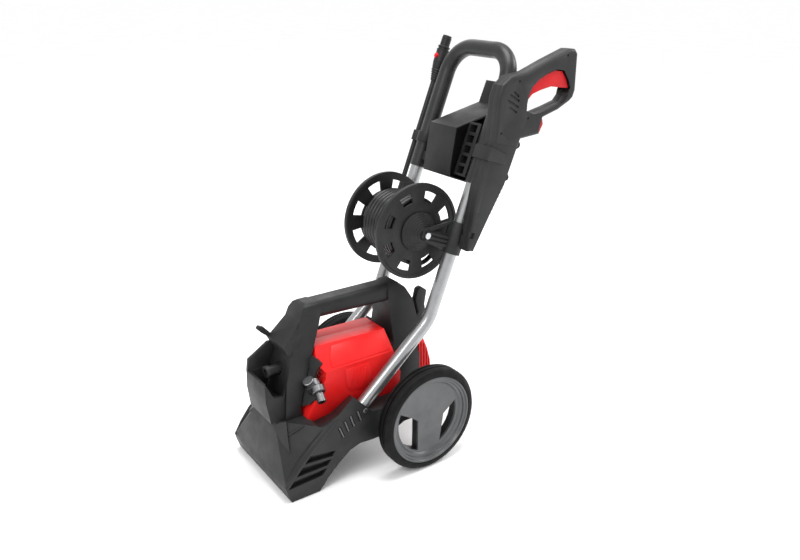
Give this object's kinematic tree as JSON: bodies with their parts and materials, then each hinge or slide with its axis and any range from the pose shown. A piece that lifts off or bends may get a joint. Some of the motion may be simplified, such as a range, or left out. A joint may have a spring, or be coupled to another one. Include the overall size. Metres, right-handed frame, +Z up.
{
  "type": "pressure washer",
  "caption": "Upright pressure washer on two wheels with a hose reel, push handle, spray gun, lance and accessory box; a motor pump sits in a red housing on a black base.",
  "frame": {"origin": "ground level at the middle of the outline, centred across the machine", "axes": "+Z up, +Y to the rear, where the user stands, +X to the side that carries the spray gun"},
  "size_m": [0.386, 0.7309, 0.8919],
  "materials": {
    "black_plastic": "fine-grained black moulding",
    "gun_plastic": "satin dark grey moulding",
    "red_plastic": "glossy red moulding",
    "red_trim": "glossy red moulding",
    "silver_tube": "silver paint on steel tube",
    "black_grip": "satin black powder coat",
    "tyre_rubber": "black tyre",
    "rim_plastic": "grey moulding",
    "hose_rubber": "black hose jacket",
    "foot_rubber": "rubber",
    "steel": "zinc-plated steel",
    "dark_metal": "dark plated metal",
    "motor_iron": "laminated iron",
    "pump_alloy": "cast alloy",
    "valve_brass": "turned brass",
    "fan_plastic": "pale moulding"
  },
  "bodies": {
    "chassis": {"base_shell": "black_plastic", "carry_handle": "black_plastic", "nose_cowl": "black_plastic", "cable_hook": "black_plastic", "accessory_box": "black_plastic", "nozzle_rack": "black_plastic", "gun_holder": "black_plastic", "lance_clip": "black_plastic", "reel_bracket_left": "black_plastic", "reel_bracket_right": "black_plastic", "reel_axle": "steel", "reel_screws": "steel", "inlet_connector": "black_plastic", "cable_gland": "black_plastic", "housing_left": "red_plastic", "housing_right": "red_plastic", "motor_rear_cover": "red_plastic", "frame_tube_left": "silver_tube", "frame_tube_right": "silver_tube", "handle_grip": "black_grip", "foot_pads": "foot_rubber", "wheel_axle": "steel", "frame_screws": "steel", "outlet_fitting": "dark_metal", "outlet_nut": "dark_metal", "motor_stator": "motor_iron", "pump_body": "pump_alloy", "capacitor": "pump_alloy"},
    "wheel_left": {"tyre_left": "tyre_rubber", "rim_left": "rim_plastic"},
    "wheel_right": {"tyre_right": "tyre_rubber", "rim_right": "rim_plastic"},
    "reel": {"reel_drum": "black_plastic", "reel_flange_left": "black_plastic", "reel_flange_right": "black_plastic", "reel_cone_left": "black_plastic", "reel_cone_right": "black_plastic", "hose_coil": "hose_rubber", "hose_coupling": "dark_metal"},
    "gun": {"gun_shell_left": "gun_plastic", "gun_shell_right": "gun_plastic", "gun_barrel": "valve_brass", "gun_screws": "steel", "gun_pegs": "black_plastic", "trigger_pin": "steel", "trigger_spring": "steel"},
    "gun_trigger": {"trigger": "red_trim"},
    "lock": {"gun_lock": "red_trim"},
    "lance": {"lance_tube": "steel", "lance_body": "black_plastic"},
    "button": {"lance_button": "red_trim"},
    "nozzle": {"lance_nozzle": "black_plastic"},
    "rotor": {"motor_rotor": "steel", "cooling_fan": "fan_plastic", "wobble_plate": "steel"},
    "piston_a": {"piston_1": "steel"},
    "piston_b": {"piston_2": "steel"},
    "piston_c": {"piston_3": "steel"},
    "knob": {"switch_knob": "black_plastic"}
  },
  "joints": [
    {"name": "wheel_left_spin", "type": "hinge", "parent": "chassis", "child": "wheel_left", "pos_m": [0, -0.03945, 0.12], "axis": [1, 0, 0], "continuous": true},
    {"name": "wheel_right_spin", "type": "hinge", "parent": "chassis", "child": "wheel_right", "pos_m": [0, -0.03945, 0.12], "axis": [1, 0, 0], "continuous": true},
    {"name": "reel_spin", "type": "hinge", "parent": "chassis", "child": "reel", "pos_m": [0, 0.01141, 0.50784], "axis": [1, 0, 0], "continuous": true},
    {"name": "gun_lift", "type": "slide", "parent": "chassis", "child": "gun", "axis": [0, 0.3665, 0.9304], "range_m": [0, 0.225]},
    {"name": "trigger_squeeze", "type": "hinge", "parent": "gun", "child": "gun_trigger", "pos_m": [0.141, 0.2216, 0.81089], "axis": [1, 0, 0], "range_deg": [0, 8], "stiffness_Nm_per_rad": 4, "springref_deg": -8.59, "deforming": ["trigger_spring"]},
    {"name": "lock_push", "type": "slide", "parent": "gun", "child": "lock", "axis": [1, 0, 0], "range_m": [-0.003, 0.003]},
    {"name": "lance_lift", "type": "slide", "parent": "chassis", "child": "lance", "axis": [0, 0.3665, 0.9304], "range_m": [0, 0.21]},
    {"name": "button_press", "type": "slide", "parent": "lance", "child": "button", "axis": [0, 0.9304, -0.3665], "range_m": [0, 0.0025], "stiffness_N_per_m": 1500, "springref_m": -0.001},
    {"name": "nozzle_turn", "type": "hinge", "parent": "lance", "child": "nozzle", "pos_m": [-0.143, 0.23894, 0.86855], "axis": [0, 0.3665, 0.9304], "range_deg": [0, 180]},
    {"name": "rotor_spin", "type": "hinge", "parent": "chassis", "child": "rotor", "pos_m": [0, -0.03945, 0.19], "axis": [0, 1, 0], "continuous": true},
    {"name": "piston_1_stroke", "type": "slide", "parent": "chassis", "child": "piston_a", "axis": [0, -1, 0], "range_m": [0, 0.006], "stiffness_N_per_m": 3000},
    {"name": "piston_2_stroke", "type": "slide", "parent": "chassis", "child": "piston_b", "axis": [0, -1, 0], "range_m": [0, 0.006], "stiffness_N_per_m": 3000},
    {"name": "piston_3_stroke", "type": "slide", "parent": "chassis", "child": "piston_c", "axis": [0, -1, 0], "range_m": [0, 0.006], "stiffness_N_per_m": 3000},
    {"name": "knob_turn", "type": "hinge", "parent": "chassis", "child": "knob", "pos_m": [-0.074, -0.16945, 0.222], "axis": [1, 0, 0], "range_deg": [0, 90]}
  ]
}
